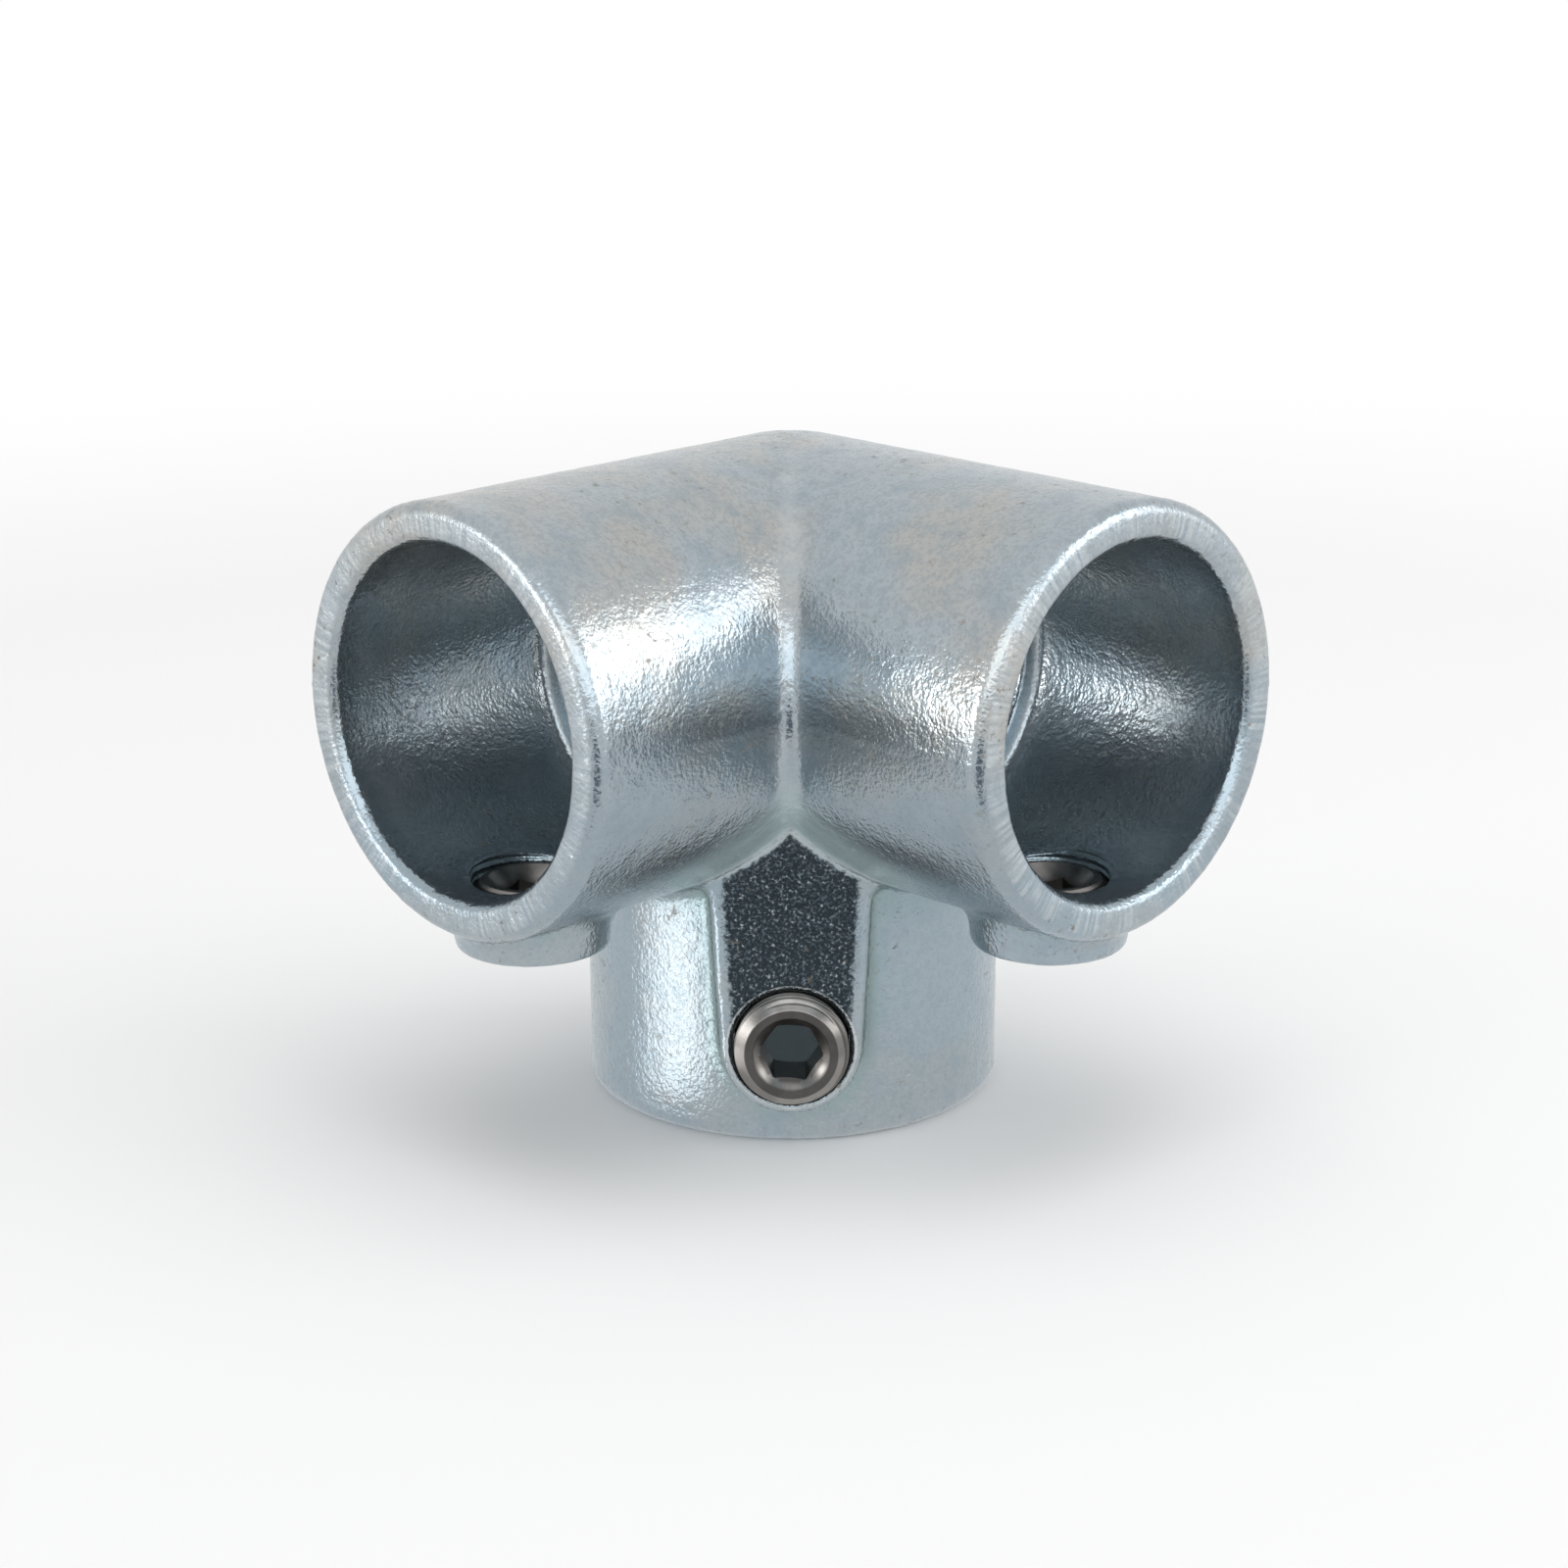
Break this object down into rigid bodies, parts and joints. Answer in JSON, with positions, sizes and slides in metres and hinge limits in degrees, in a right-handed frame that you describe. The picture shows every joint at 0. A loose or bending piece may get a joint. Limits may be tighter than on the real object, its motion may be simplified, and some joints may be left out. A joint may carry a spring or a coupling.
{
  "type": "tube clamp corner fitting",
  "caption": "Corner fitting for round tube: level sockets at a right angle, a socket facing down, and a hex-socket set screw through the wall of each.",
  "frame": {"origin": "centre of the downward socket's mouth", "axes": "+X out of the right-hand level socket's mouth, -Y out of the left-hand level socket's mouth, -Z out of the downward socket's mouth"},
  "size_m": [0.0976, 0.0976, 0.099],
  "materials": {
    "galvanised_casting": "hot-dip galvanised, slightly rough",
    "set_screw_steel": "zinc plated, glossy"
  },
  "bodies": {
    "fitting": {"casting": "galvanised_casting"},
    "post_screw": {"post_set_screw": "set_screw_steel"},
    "right_screw": {"right_set_screw": "set_screw_steel"},
    "left_screw": {"left_set_screw": "set_screw_steel"}
  },
  "joints": [
    {"name": "post_screw_slide", "type": "slide", "parent": "fitting", "child": "post_screw", "axis": [-0.7071, 0.7071, 0], "range_m": [-0.0033, 0.0046]},
    {"name": "right_screw_slide", "type": "slide", "parent": "fitting", "child": "right_screw", "axis": [0, 0, 1], "range_m": [-0.0059, 0.002]},
    {"name": "left_screw_slide", "type": "slide", "parent": "fitting", "child": "left_screw", "axis": [0, 0, 1], "range_m": [-0.0059, 0.002]}
  ]
}
